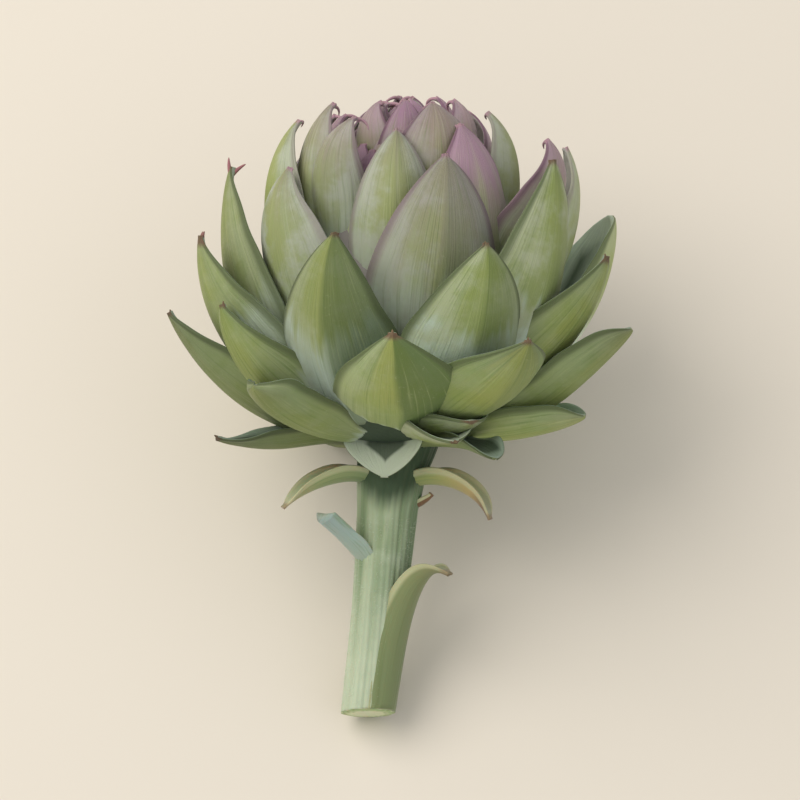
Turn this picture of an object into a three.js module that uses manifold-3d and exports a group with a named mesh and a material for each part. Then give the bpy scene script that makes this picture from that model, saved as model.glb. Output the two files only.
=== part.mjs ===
// A globe artichoke, picked with a short length of its leafy stem and laid on its side.
// Millimetres, +Z up, standing surface at z = 0. The stem points to -Y and the head to +Y.
//
// Every piece is drawn upright first, in the head's own frame: the origin is where the stem meets
// the head, the axis of the head is +Z and its front is -Y. The last group lays it down.
import * as THREE from "three";
import { mergeVertices } from "three/addons/utils/BufferGeometryUtils.js";
import Module from "manifold-3d";

const wasm = await Module();
wasm.setup();

// ---- Driving dimensions ---------------------------------------------------------------------

const GAP = 0.35; // clear space between two nodes
const NECK = -2.6; // height where the stem meets the head
const GOLDEN_TURN = -137.508; // degrees from one bract to the next one up

// The bracts are numbered from the lowest, at the neck, to the innermost, at the crown.
// Number 0 faces the front. Those up to SMALL are small and ragged. Those from HEART on close over
// the crown and are tinged purple.
const LOWEST = -16;
const SMALL = -8;
const HEART = 13;
const INNERMOST = 47;

// How a bract changes from the neck to the crown. Each row is: its number, the distance from the
// axis and the height of its foot, the same of its tip, the slopes at which it leaves its foot and
// reaches its tip (degrees, 0 is outwards and 90 is up), its width, its hollow, its thickness, and
// how blunt its outline is.
const BRACT_STATIONS = [
  [-16, [9, -2], [32, -7], [8, -24], 14, 2.2, 1.4, 2.2],
  [-12, [10, -1], [44, -2], [2, 6], 18, 3.0, 1.6, 2.8],
  [-8, [14, 0], [52, 4], [2, 24], 25, 4.6, 2.0, 3.0],
  [-5, [17, 0], [57, 14], [4, 42], 32, 6.2, 2.4, 3.0],
  [-2, [20, 1], [60, 28], [8, 60], 36, 7.4, 2.8, 3.0],
  [2, [21, 2], [58, 32], [14, 74], 39, 8.0, 3.0, 3.1],
  [5, [22, 4], [54, 46], [24, 88], 41, 8.2, 3.0, 3.0],
  [8, [23, 6], [49, 56], [30, 100], 41, 7.8, 3.0, 2.7],
  [12, [24, 8], [44.5, 71], [36, 104], 40, 7.2, 2.8, 2.8],
  [13, [26, 15], [37, 71], [54, 116], 40, 7.2, 2.6, 2.9],
  [18, [26, 24], [31, 78], [62, 130], 37, 7.0, 2.4, 2.7],
  [24, [22, 34], [24, 83], [74, 140], 33, 6.6, 2.2, 2.6],
  [31, [14, 46], [15, 85.5], [82, 148], 27, 5.8, 2.0, 2.6],
  [39, [6, 58], [5.5, 86], [86, 150], 20, 4.6, 1.8, 2.6],
  [47, [2, 66], [1, 84.5], [88, 150], 12, 3.2, 1.6, 2.6],
];
const BRACT_EDGE = 0.7; // thickness at the edges and the tip
const FOOT_WIDTH = 0.72; // share of the full width that a bract has at its foot
const WIDEST = 0.5; // how far along its length a blade is widest
const TIP_WIDTH = 1.8; // width of the blunt point
const ACUTE = 0.94; // nearer 1, the flanks run straighter into the tip
const TIP_CURL = 0.55; // how much tighter than its foot a bract is curled at the tip
const TIP_BODY = 0.45; // share of its thickness that a bract keeps at its tip
const KEEL = 1.3; // how far the midline stands proud of the round of the back
const DRIFT = 0.05; // how far a tip may drift sideways, as a share of the bract's length

// How far any one bract strays from the rule, at most: its turn round the axis in degrees, its tip's
// reach and rise in mm, and the slope of its tip in degrees.
const STRAY = { turn: 4, reach: 1.6, rise: 2.2, lean: 4 };
// Some have grown further out of line, each in its own way. Shift and lift are how much further out
// and up its foot is, and swing is how far its tip has swung to the side. Broad and hollow are its
// width and hollow against the rule's. Blunt and wideFoot are added to the rule's, and rounded is how
// far its end has lost the point.
const IN_LINE = {
  turn: 0,
  reach: 0,
  rise: 0,
  lean: 0,
  shift: 0,
  lift: 0,
  swing: 0,
  broad: 1,
  hollow: 1,
  blunt: 0,
  rounded: 0,
  wideFoot: 0,
};
const STRAYED = new Map([
  [-16, { turn: -2, reach: 8, rise: 1, broad: 1.2, hollow: 0.5, blunt: 2, rounded: 0.4 }],
  [-15, { rise: 4, lean: 6 }],
  [-14, { reach: -8, rise: 2 }],
  [-13, { turn: -4, reach: -27, rise: -8, lean: -78, broad: 1.65, blunt: -1, rounded: 0.05 }],
  [-11, { turn: -1, reach: 3, rise: 5, lean: 10, broad: 1.3, blunt: 4, rounded: 0.45 }],
  [-10, { turn: -1, reach: 3, rise: -2 }],
  [-9, { turn: -6, reach: -8 }],
  [-8, { reach: -14, rise: -6, lean: -30 }],
  [-7, { reach: -12, rise: 2 }],
  [-6, { turn: -31, reach: 6, rise: 16, lean: 8, broad: 0.92, blunt: 3, rounded: 0.42 }],
  [-5, { turn: -14, reach: -5, rise: -2, broad: 0.75, blunt: 8, rounded: 0.3 }],
  [-4, { turn: 16, reach: -1 }],
  [-3, { turn: -19, lift: 3, broad: 1.05, hollow: 0.85, blunt: 1.2 }],
  [-2, { turn: 5, rise: 3 }],
  [-1, { turn: 14, reach: -1, rise: -6 }],
  [0, { reach: -2, rise: -5, lift: 2, broad: 0.95, hollow: 0.6, blunt: 0.3, wideFoot: 0.25 }],
  [1, { turn: 3, broad: 1.15 }],
  [2, { turn: -17, reach: -1, rise: 13, lift: 7 }],
  [3, { turn: -9, reach: -5, rise: -4, broad: 0.9 }],
  [4, { reach: -1 }],
  [5, { turn: -7.5, rise: 1.5 }],
  [6, { turn: 31, reach: 0.5, rise: 1, broad: 1.12 }],
  [7, { turn: -12, reach: 7, rise: 4, lean: -8, blunt: 1.5, rounded: 0.4 }],
  [8, { turn: -7.5, rise: -6, lift: -1.5, swing: 6.5, blunt: -0.2, wideFoot: 0.12 }],
  [9, { turn: 6, broad: 1.1 }],
  [10, { turn: -13, rise: 5.5 }],
  [11, { turn: -11, reach: -2.5, rise: 1, broad: 1.26 }],
  [13, { turn: 1.8, rise: -1, swing: 2.3, broad: 1.04 }],
  [14, { turn: 3, reach: -6 }],
  [15, { reach: 8.5, lean: -6 }],
  [16, { turn: -16, reach: 1.5, rise: -8, swing: 2, broad: 1.04 }],
  [18, { turn: -7, reach: -3.5 }],
  [19, { turn: 17, reach: -3, rise: 1 }],
  [20, { turn: -65, reach: 11.5, rise: -5 }],
  [21, { turn: 5, rise: -4, broad: 0.84 }],
  [23, { reach: -2.5 }],
  [24, { reach: -4, rise: 1, broad: 0.85 }],
  [26, { turn: -1, reach: 0.5, broad: 1.15, blunt: 0.8 }],
  [28, { rise: -1.5 }],
  [29, { turn: -17, reach: 7, rise: -5, shift: 7, swing: 6.5, broad: 0.9 }],
  [30, { rise: -1 }],
  [31, { rise: -0.5 }],
  [32, { rise: -4 }],
  [34, { reach: -1, rise: -1, broad: 0.85 }],
  [35, { rise: -2 }],
  [36, { rise: 0.5 }],
  [37, { rise: -1.5 }],
]);

// The receptacle is the bowl that the outer bracts grow from, as radius and height pairs.
const BOWL_OUTSIDE = [
  [10.5, NECK],
  [15, -1.6],
  [24, 2],
  [32, 8],
  [37, 16],
  [38.5, 22],
  [37.5, 25],
];
// The heart is the closed bud that sits in it. Its bracts stand out of this core.
const HEART_CORE = [
  [10, 10],
  [16, 11.5],
  [24, 14.5],
  [29, 20],
  [31, 27],
  [31, 38],
  [27, 50],
  [22, 60],
  [15, 67],
  [8, 71],
  [2, 73],
];
// The space that the heart keeps to, open above. Below its waist, it widens upwards like a bowl.
const HEART_WAIST = 30;
const HEART_ROOM = [
  [13, 9],
  [24, 12.5],
  [32, 19],
  [37, 27],
  [39.5, 37],
  [41, 48],
  [42, 60],
  [42.5, 76],
  [38, 86],
  [20, 95],
];
const ROUND = 36; // sides of a full turn

// The stem: at each height below the head, its radius and how far it has bent to the left.
const STEM_STATIONS = [
  [-80, 7.0, 9.2],
  [-62, 6.8, 7.2],
  [-48, 6.8, 5.8],
  [-34, 7.1, 4.5],
  [-20, 7.7, 3.4],
  [-11, 8.7, 2.3],
  [-6, 9.8, 1.2],
  [NECK - GAP, 10.3, 0.5],
];
const STEM_LENGTH = 72; // from the head to the middle of the cut
const CUT_LEAN = 12; // degrees that the cut is off square, open to the front
const RIBS = 9;
const RIB_HEIGHT = 0.45;
const RIB_ROUND = 0.8; // nearer 0, the ribs are flatter and the grooves narrower
const STEPS_IN_RIB = 4;

// The space that the stem and its collar keep clear of bracts, below the bowl.
const NECK_ROOM = [
  [9.5, -16],
  [11, -9],
  [12, NECK - GAP],
  [12, NECK],
];

// The small leaves on the stem. Each row is: the turn it faces, the distance from the middle of the
// stem and the height of its foot, the same of its tip, the slopes at which it leaves its foot and
// reaches its tip, its width, its hollow, its thickness, its drift and how broad its end is.
const STEM_LEAVES = [
  [-66, [3, -15], [29, -19], [50, -48], 12, 3.8, 1.2, 0, 0],
  [66, [3, -15], [29, -22], [44, -68], 12, 3.8, 1.2, 0, 0],
  [84, [5, -19], [11, -15.5], [5, 50], 4, 0.8, 1.2, 0, 0],
  [-60, [3, -34.5], [18.5, -21.5], [46, 32], 11, 0.9, 2.8, 0, 0.85],
  [42, [7.2, -79], [20, -36], [91, -30], 16, 5.0, 1.2, 0.12, 0],
  [152, [4.5, -50], [13, -34], [86, 30], 8, 1.6, 1.2, 0, 0],
];
const STALK = 0.7; // share of its width that a stem leaf has at its foot
const STEM_LEAF_BLUNT = 3.2;
const STEM_LEAF_ACUTE = 0.8;
const STEM_LEAF_KEEL = 0.3;

// How finely the blades are cut: rows along each, and steps across its outer and its inner face.
const SMALL_BRACT_FACETS = [5, 4, 2];
const BIG_BRACT_FACETS = [7, 6, 3];
const HEART_BRACT_FACETS = [6, 5, 3];
const STEM_LEAF_FACETS = [8, 4, 2];

// How it lies: on the tips of two bracts behind and on the end of the stem.
const ROLL = 2.169; // degrees about the axis of the head
const PITCH = 64.194; // degrees over onto its back
const HEAD_AT = [-0.406, -8.811, 38.086]; // where the origin of the head comes to lie

// ---- Helpers --------------------------------------------------------------------------------

const radians = THREE.MathUtils.degToRad;
const mix = THREE.MathUtils.lerp;

// A number from -1 to 1 that is always the same for the same bract and the same use.
function stray(number, use) {
  const x = Math.sin(number * 12.9898 + use * 78.233) * 43758.5453;
  return 2 * (x - Math.floor(x)) - 1;
}

// The row of a table at a place between two of its rows. The first column is the place.
function between(table, place) {
  const last = table.length - 2;
  const found = table.findIndex((row) => row[0] > place) - 1;
  const at = found < -1 ? last : Math.min(Math.max(found, 0), last);
  const share = (place - table[at][0]) / (table[at + 1][0] - table[at][0]);
  const blend = (a, b) => (Array.isArray(a) ? a.map((x, i) => mix(x, b[i], share)) : mix(a, b, share));
  return table[at].map((value, i) => blend(value, table[at + 1][i]));
}

// A closed geometry through rings of points. Each ring is a pair of open lines of points, one along
// the front of a section and one along its back, both running the same way.
function loft(rings) {
  const fronts = rings[0][0].length;
  const size = fronts + rings[0][1].length;
  const vertices = rings.flatMap(([front, back]) => [...front, ...[...back].reverse()]);
  const index = [];
  for (let row = 0; row + 1 < rings.length; row++) {
    for (let i = 0; i < size; i++) {
      const a = row * size + i;
      const b = row * size + ((i + 1) % size);
      index.push(a, b, b + size, a, b + size, a + size);
    }
  }
  const cap = (row, turned) => {
    let i = 0;
    let j = 0;
    const ends = [fronts - 1, size - fronts - 1];
    while (i < ends[0] || j < ends[1]) {
      const front = row * size + i;
      const back = row * size + size - 1 - j;
      const stepFront = j === ends[1] || (i < ends[0] && (i + 1) / ends[0] <= (j + 1) / ends[1]);
      const next = stepFront ? front + 1 : back - 1;
      index.push(...(turned ? [front, next, back] : [back, next, front]));
      if (stepFront) i++;
      else j++;
    }
  };
  cap(0, false);
  cap(rings.length - 1, true);
  const geometry = new THREE.BufferGeometry().setFromPoints(vertices);
  geometry.setIndex(index);
  return geometry;
}

function solidOf(geometry) {
  const plain = geometry.clone();
  plain.deleteAttribute("normal");
  plain.deleteAttribute("uv");
  const merged = mergeVertices(plain, 1e-4);
  const mesh = new wasm.Mesh({
    numProp: 3,
    vertProperties: new Float32Array(merged.attributes.position.array),
    triVerts: new Uint32Array(merged.index.array),
  });
  const solid = new wasm.Manifold(mesh);
  if (solid.volume() <= 0) throw new Error("a piece is inside out");
  return solid;
}

function geometryOf(solid) {
  const mesh = solid.getMesh();
  const geometry = new THREE.BufferGeometry();
  geometry.setAttribute("position", new THREE.BufferAttribute(mesh.vertProperties, 3));
  geometry.setIndex(new THREE.BufferAttribute(mesh.triVerts, 1));
  return geometry.toNonIndexed();
}

const joined = (solids) => solids.reduce((all, one) => all.add(one));

// The one body of a solid, with sealed hollows filled and loose scraps dropped.
const larger = (one, other) => (other.volume() > one.volume() ? other : one);
const oneBody = (solid) => solid.decompose().reduce(larger);

// A solid of revolution about the axis, from radius and height pairs. It closes on the axis.
function turned(profile) {
  const points = [[0, profile[0][1]], ...profile, [0, profile.at(-1)[1]]];
  const geometry = new THREE.LatheGeometry(points.map(([r, h]) => new THREE.Vector2(r, h)), ROUND);
  return solidOf(geometry.rotateX(Math.PI / 2));
}

// ---- A leafy blade --------------------------------------------------------------------------

// Egg-shaped, widest near the middle, and drawn in to a point or to a broad end.
function outline(along, footWidth, blunt, acute, endWidth) {
  const spread = mix(footWidth, 1, THREE.MathUtils.smoothstep(along, 0, WIDEST));
  return spread * Math.max(Math.pow(1 - Math.pow(along, blunt), acute), endWidth);
}

// A blade grows in the upright plane at one turn round the axis. Its midline is a curve from foot
// to tip, given as distance from the axis and height. Across it, it curls round the axis.
function blade(plan, [rows, frontSteps, backSteps]) {
  const turn = radians(plan.turn);
  const foot = new THREE.Vector2(...plan.foot);
  const tip = new THREE.Vector2(...plan.tip);
  const length = foot.distanceTo(tip);
  const [leaving, arriving] = plan.slopes.map((slope) =>
    new THREE.Vector2(Math.cos(radians(slope)), Math.sin(radians(slope))).multiplyScalar(length / 3),
  );
  const midline = new THREE.CubicBezierCurve(foot, foot.clone().add(leaving), tip.clone().sub(arriving), tip);
  const rings = [];
  for (let row = 0; row <= rows; row++) {
    const along = row / rows;
    const middle = midline.getPoint(along);
    const rise = midline.getTangent(along);
    const inwards = new THREE.Vector2(-rise.y, rise.x);
    const half = Math.max(plan.widthAt(along) * plan.width, TIP_WIDTH) / 2;
    const curl = ((plan.width * plan.width) / (8 * plan.hollow)) * mix(1, TIP_CURL, along);
    const aside = (plan.drift * length + plan.swing) * along * along;
    const bend = plan.bendAt(middle.y);
    const line = (steps, side) =>
      Array.from({ length: steps + 1 }, (_, i) => {
        const across = (2 * i) / steps - 1;
        const angle = (half * across) / curl;
        const thick = mix(BRACT_EDGE, plan.thick, (1 - across * across) * plan.bodyAt(along));
        const keel = plan.keel * (half / plan.width) * 2 * (1 - Math.abs(across));
        const deep = curl * (1 - Math.cos(angle)) - keel + (side * thick) / 2;
        const radius = middle.x + inwards.x * deep;
        const height = middle.y + inwards.y * deep;
        const wide = curl * Math.sin(angle) + aside;
        return new THREE.Vector3(
          radius * Math.sin(turn) + wide * Math.cos(turn) - bend,
          -radius * Math.cos(turn) + wide * Math.sin(turn),
          height,
        );
      });
    rings.push([line(frontSteps, -1), line(backSteps, 1)]);
  }
  return solidOf(loft(rings));
}

// ---- The head -------------------------------------------------------------------------------

function bractPlan(number) {
  const [, foot, tip, slopes, width, hollow, thick, blunt] = between(BRACT_STATIONS, number);
  const seeded = Object.entries(STRAY).map(([key, most], use) => [key, most * stray(number, use + 1)]);
  const own = { ...IN_LINE, ...(STRAYED.get(number) ?? Object.fromEntries(seeded)) };
  return {
    turn: number * GOLDEN_TURN + own.turn,
    foot: [foot[0] + own.shift, foot[1] + own.lift],
    tip: [tip[0] + own.reach, tip[1] + own.rise],
    slopes: [slopes[0], slopes[1] + own.lean],
    drift: DRIFT * stray(number, 5),
    swing: own.swing,
    width: width * own.broad,
    hollow: hollow * own.broad * own.hollow,
    thick,
    keel: KEEL,
    bendAt: () => 0,
    widthAt: (along) =>
      outline(along, FOOT_WIDTH + own.wideFoot, blunt + own.blunt, ACUTE - own.rounded, 0),
    bodyAt: (along) => mix(1, TIP_BODY, along),
  };
}

function bracts(first, last, facets) {
  const numbers = Array.from({ length: last - first + 1 }, (_, i) => first + i);
  return numbers.map((number) => blade(bractPlan(number), facets));
}

// The space that the heart fills, or with extra room round it the hollow that it sits in.
function heartRoom(extra) {
  return turned(HEART_ROOM.map(([r, h]) => [r + extra, h < HEART_WAIST ? h - extra : h]));
}

function heartSolid() {
  const heart = [turned(HEART_CORE), ...bracts(HEART, INNERMOST, HEART_BRACT_FACETS)];
  return joined(heart).intersect(heartRoom(0));
}

function outerSolid() {
  const small = bracts(LOWEST, SMALL, SMALL_BRACT_FACETS);
  const big = bracts(SMALL + 1, HEART - 1, BIG_BRACT_FACETS);
  const whole = joined([turned(BOWL_OUTSIDE), ...small, ...big]);
  return whole.subtract(heartRoom(GAP)).subtract(turned(NECK_ROOM));
}

// ---- The stem -------------------------------------------------------------------------------

// Rounded ribs with narrow grooves between them run down the stem.
function stemRing([height, radius, bend]) {
  const count = RIBS * STEPS_IN_RIB;
  const points = Array.from({ length: count }, (_, i) => {
    const angle = (2 * Math.PI * i) / count;
    const rib = Math.pow(Math.abs(Math.cos((RIBS * angle) / 2)), RIB_ROUND);
    const out = radius + RIB_HEIGHT * (rib - 0.5);
    return new THREE.Vector3(out * Math.cos(angle) - bend, out * Math.sin(angle), height);
  });
  return [points.slice(0, count / 2), points.slice(count / 2).reverse()];
}

function stemLeaf([turn, foot, tip, slopes, width, hollow, thick, drift, endWidth]) {
  const plan = { turn, foot, tip, slopes, width, hollow, thick, drift, swing: 0, keel: STEM_LEAF_KEEL };
  plan.bendAt = (height) => between(STEM_STATIONS, height)[2];
  plan.widthAt = (along) => outline(along, STALK, STEM_LEAF_BLUNT, STEM_LEAF_ACUTE, endWidth);
  plan.bodyAt = () => 1;
  return blade(plan, STEM_LEAF_FACETS);
}

function stemSolid() {
  const whole = joined([solidOf(loft(STEM_STATIONS.map(stemRing))), ...STEM_LEAVES.map(stemLeaf)]);
  const lean = radians(CUT_LEAN);
  return whole.trimByPlane([0, Math.sin(lean), Math.cos(lean)], -STEM_LENGTH * Math.cos(lean));
}

// ---- The whole ------------------------------------------------------------------------------

const head = new THREE.Group();
head.rotation.set(radians(-PITCH), 0, radians(ROLL)); // rolled first, then laid back
head.position.set(...HEAD_AT);

const artichoke = new THREE.Group();
artichoke.add(head);

function addPiece(name, solid, colour) {
  const material = new THREE.MeshStandardMaterial({ color: colour, roughness: 0.6, metalness: 0 });
  const mesh = new THREE.Mesh(geometryOf(oneBody(solid)), material);
  mesh.name = name;
  head.add(mesh);
}

addPiece("heart_bracts", heartSolid(), 0x8b8580);
addPiece("outer_bracts", outerSolid(), 0x87984f);
addPiece("stem", stemSolid(), 0x9db090);

export default artichoke;
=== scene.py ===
"""A globe artichoke, picked with a short length of its leafy stem and laid on its side.

Sizes are in millimetres and angles in degrees, in the head's own frame: the origin is where the stem
meets the head, the head's axis is +Z and its front is -Y. LAID turns that into the frame's metres.
"""

import math

import bpy
import numpy as np
from mathutils import Matrix, Vector, noise


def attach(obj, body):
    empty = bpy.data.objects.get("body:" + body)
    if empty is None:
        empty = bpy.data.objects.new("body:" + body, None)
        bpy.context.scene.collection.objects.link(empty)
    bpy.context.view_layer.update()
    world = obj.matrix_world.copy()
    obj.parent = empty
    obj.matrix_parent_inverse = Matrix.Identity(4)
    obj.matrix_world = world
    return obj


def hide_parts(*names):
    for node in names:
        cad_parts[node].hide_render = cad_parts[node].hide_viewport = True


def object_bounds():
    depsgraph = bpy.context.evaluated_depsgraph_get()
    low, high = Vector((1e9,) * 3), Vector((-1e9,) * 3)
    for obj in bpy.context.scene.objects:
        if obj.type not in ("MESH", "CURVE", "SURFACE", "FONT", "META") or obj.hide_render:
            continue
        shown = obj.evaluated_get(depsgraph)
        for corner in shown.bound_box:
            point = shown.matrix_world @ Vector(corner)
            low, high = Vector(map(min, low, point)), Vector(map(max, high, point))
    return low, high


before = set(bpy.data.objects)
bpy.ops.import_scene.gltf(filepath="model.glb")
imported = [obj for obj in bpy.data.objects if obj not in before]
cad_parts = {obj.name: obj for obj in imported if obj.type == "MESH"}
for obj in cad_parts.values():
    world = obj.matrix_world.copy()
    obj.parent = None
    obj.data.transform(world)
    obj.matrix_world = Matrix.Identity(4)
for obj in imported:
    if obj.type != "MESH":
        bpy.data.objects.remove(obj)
cad_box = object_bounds()

MM = 0.001

# ---- How it lies -----------------------------------------------------------------------------

ROLL = 2.169  # about the axis of the head
PITCH = 64.194  # over onto its back
HEAD_AT = (-0.406, -8.811, 38.086)  # where the origin of the head comes to lie
LAID = (
    Matrix.Scale(MM, 4)
    @ Matrix.Translation(HEAD_AT)
    @ Matrix.Rotation(math.radians(-PITCH), 4, "X")
    @ Matrix.Rotation(math.radians(ROLL), 4, "Z")
)

# ---- The head --------------------------------------------------------------------------------

GOLDEN_TURN = -137.508  # from one bract to the next one up
LOWEST = -16  # the bract at the neck; number 0 faces the front
HEART = 13  # from here on they close over the crown
INNERMOST = 47

# How a bract changes from the neck to the crown: its number, the distance from the axis and the
# height of its foot, the same of its tip, the slopes at which it leaves its foot and reaches its tip,
# its width, its hollow, its thickness and how blunt its outline is.
BRACT_STATIONS = [
    (-16, 9, -2, 32, -7, 8, -24, 14, 2.2, 1.4, 2.2),
    (-12, 10, -1, 44, -2, 2, 6, 18, 3.0, 1.6, 2.8),
    (-8, 14, 0, 52, 4, 2, 24, 25, 4.6, 2.0, 3.0),
    (-5, 17, 0, 57, 14, 4, 42, 32, 6.2, 2.4, 3.0),
    (-2, 20, 1, 60, 28, 8, 60, 36, 7.4, 2.8, 3.0),
    (2, 21, 2, 58, 32, 14, 74, 39, 8.0, 3.0, 3.1),
    (5, 22, 4, 54, 46, 24, 88, 41, 8.2, 3.0, 3.0),
    (8, 23, 6, 49, 56, 30, 100, 41, 7.8, 3.0, 2.7),
    (12, 24, 8, 44.5, 71, 36, 104, 40, 7.2, 2.8, 2.8),
    (13, 26, 15, 37, 71, 54, 116, 40, 7.2, 2.6, 2.9),
    (18, 26, 24, 31, 78, 62, 130, 37, 7.0, 2.4, 2.7),
    (24, 22, 34, 24, 83, 74, 140, 33, 6.6, 2.2, 2.6),
    (31, 14, 46, 15, 85.5, 82, 148, 27, 5.8, 2.0, 2.6),
    (39, 6, 58, 5.5, 86, 86, 150, 20, 4.6, 1.8, 2.6),
    (47, 2, 66, 1, 84.5, 88, 150, 12, 3.2, 1.6, 2.6),
]
# Small bracts lie close over the core, behind those of the heart. They are numbered further on.
INNER_FIRST = 59
INNER_LAST = 79
INNER_STATIONS = [
    (59, 28, 21, 22, 68, 68, 124, 37, 5.6, 1.8, 2.8),
    (60, 27, 36, 21, 68, 86, 118, 25, 5.6, 1.8, 3.0),
    (70, 23.5, 48, 14.5, 74, 86, 132, 20, 4.8, 1.6, 3.0),
    (79, 15, 60, 7, 79, 84, 145, 13, 3.4, 1.4, 3.0),
]
# One small bract is tucked in at the neck, between the front ones and those that droop below them.
TUCKED = -29
TUCKED_STATIONS = [(TUCKED, 14, 0.6, 37, 3.2, -4, 14, 26, 4.2, 1.6, 3.0)]
BRACT_EDGE = 0.6  # thickness at the edges and the tip
FOOT_WIDTH = 0.72  # share of the full width that a bract has at its foot
FULL_WIDTH_AT = 0.5  # share of its length at which a blade has its full width
TIP_WIDTH = 1.8
ACUTE = 0.94  # nearer 1, the flanks run straighter into the tip
TIP_CURL = 0.55  # how much tighter than its foot a bract is curled at the tip
TIP_BODY = 0.45  # share of its thickness that a bract keeps at its tip
KEEL = 1.3  # how far the midline stands proud of the round of the back
KEEL_SOFTNESS = 0.07
DRIFT = 0.05  # how far a tip may drift sideways, as a share of the bract's length

# How far any one bract strays from the rule, at most, and those that have grown further out of line.
STRAY = {"turn": 4, "reach": 1.6, "rise": 2.2, "lean": 4}
IN_LINE = {
    **dict.fromkeys(("turn", "reach", "rise", "lean", "shift", "lift", "swing"), 0),
    **dict.fromkeys(("blunt", "rounded", "wide_foot"), 0),
    **dict.fromkeys(("broad", "hollow", "wavy"), 1),
}
STRAYED = {
    TUCKED: {"rounded": 0.3},
    -16: {
        "turn": -2, "reach": 8, "rise": 1, "broad": 1.2,
        "hollow": 0.5, "blunt": 2, "rounded": 0.4, "wavy": 3,
    },
    -15: {"rise": 4, "lean": 6},
    -14: {"reach": -8, "rise": 2},
    -13: {
        "turn": -4, "reach": -27, "rise": -8, "lean": -78,
        "broad": 1.65, "blunt": -1, "rounded": 0.05,
    },
    -11: {
        "turn": -1, "reach": 3, "rise": 5, "lean": 10,
        "broad": 1.3, "blunt": 4, "rounded": 0.45, "wavy": 2,
    },
    -10: {"turn": -1, "reach": 3, "rise": -2},
    -9: {"turn": -6, "reach": -8},
    -8: {"reach": -14, "rise": -6, "lean": -30},
    -7: {"reach": -12, "rise": 2},
    -6: {"turn": -31, "reach": 6, "rise": 16, "lean": 8, "broad": 0.92, "blunt": 3, "rounded": 0.42},
    -5: {"turn": -14, "reach": -5, "rise": -2, "broad": 0.75, "blunt": 8, "rounded": 0.3, "wavy": 4},
    -4: {"turn": 16, "reach": -1},
    -3: {"turn": -19, "lift": 3, "broad": 1.05, "hollow": 0.85, "blunt": 1.2},
    -2: {"turn": 5, "rise": 3},
    -1: {"turn": 14, "reach": -1, "rise": -6},
    0: {
        "reach": -2, "rise": -5, "lift": 2, "broad": 0.95,
        "hollow": 0.6, "blunt": 0.3, "wide_foot": 0.25,
    },
    1: {"turn": 3, "broad": 1.15},
    2: {"turn": -17, "reach": -1, "rise": 13, "lift": 7},
    3: {"turn": -9, "reach": -5, "rise": -4, "broad": 0.9},
    4: {"reach": -1},
    5: {"turn": -7.5, "rise": 1.5},
    6: {"turn": 31, "reach": 0.5, "rise": 1, "broad": 1.12},
    7: {"turn": -12, "reach": 7, "rise": 4, "lean": -8, "blunt": 1.5, "rounded": 0.4},
    8: {"turn": -7.5, "rise": -6, "lift": -1.5, "swing": 6.5, "blunt": -0.2, "wide_foot": 0.12},
    9: {"turn": 6, "broad": 1.1},
    10: {"turn": -13, "rise": 5.5},
    11: {"turn": -11, "reach": -2.5, "rise": 1, "broad": 1.26},
    13: {"turn": 1.8, "rise": -1, "swing": 2.3, "broad": 1.04},
    14: {"turn": 3, "reach": -6},
    15: {"reach": 8.5, "lean": -6},
    16: {"turn": -16, "reach": 1.5, "rise": -8, "swing": 2, "broad": 1.04},
    18: {"turn": -7, "reach": -3.5},
    19: {"turn": 17, "reach": -3, "rise": 1},
    20: {"turn": -65, "reach": 11.5, "rise": -5},
    21: {"turn": 5, "rise": -4, "broad": 0.84},
    23: {"reach": -2.5},
    24: {"reach": -4, "rise": 1, "broad": 0.85},
    26: {"turn": -1, "reach": 0.5, "broad": 1.15, "blunt": 0.8},
    28: {"rise": -1.5},
    29: {"turn": -17, "reach": 7, "rise": -5, "shift": 7, "swing": 6.5, "broad": 0.9},
    30: {"rise": -1},
    31: {"rise": -0.5},
    32: {"rise": -4},
    34: {"reach": -1, "rise": -1, "broad": 0.85},
    35: {"rise": -2},
    36: {"rise": 0.5},
    37: {"rise": -1.5},
    59: {"turn": -37},
}

# How each bract is coloured, by its number: what they all follow, and those that differ.
# How mauve it is.
FLUSH_STATIONS = [(-16, 0), (5, 0), (12, 0.15), (16, 0.3), (22, 0.45), (28, 0.8), (34, 1), (47, 1)]
FLUSH_SPREAD = 0.25
FLUSHED = {
    10: 0.05, 13: 0.32, 15: 0.05, 16: 0.05, 18: 1, 19: 0,
    20: 0.85, 21: 0.12, 23: 0.05, 24: 0.3, 26: 0.6, 29: 0.35,
}
# How thick its waxy bloom lies.
BLOOM_STATIONS = [(-16, 0.25), (-3, 0.35), (5, 0.6), (13, 0.9), (39, 1)]
BLOOM_SPREAD = 0.3
BLOOMED = {TUCKED: 1, -13: 2.2, -8: 1.2, 5: 1, 10: 1.4, 16: 1.3, 21: 1.2}
# How far up the pale foot reaches that its neighbours sheltered, as a share of its length.
SHELTER_STATIONS = [
    (-16, 0.05), (0, 0.05), (3, 0.36), (5, 0.58),
    (8, 0.54), (12, 0.42), (13, 0.32), (39, 0.25),
]
SHELTERED = {13: 0.42, 15: 0.52, 23: 0.4}
# How yellow it is where the bloom has been rubbed off.
YELLOW = 0.45
YELLOW_SPREAD = 0.35
YELLOWED = {-3: 1, 0: 1, 5: 0.3, 8: 0.55, 10: 0.2, 13: 0.45, 16: 0.6, 19: 1, 21: 0.55}
# How strongly painted shade darkens the side beyond its keel to a deeper green, on the side away from the
# light.
PAINTED_SIDE_SHADE = 0.15
SIDE_SHADE_BY_BRACT = {-3: 0.45, 0: 0.9, 5: 0.45, 7: 0.8, 8: 0.75, 13: 0.5}
# How far its tip has dried: less than nothing where it is fresh to the end.
TIP = 0.25
TIPPED = {
    -16: -1, -13: -1, -11: -0.6, -6: -0.5, -5: -1, -2: 0.2,
    0: 0.5, 2: 0.6, 3: 0.2, 6: 0.9, 7: -1, 11: 0.1,
}
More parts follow.
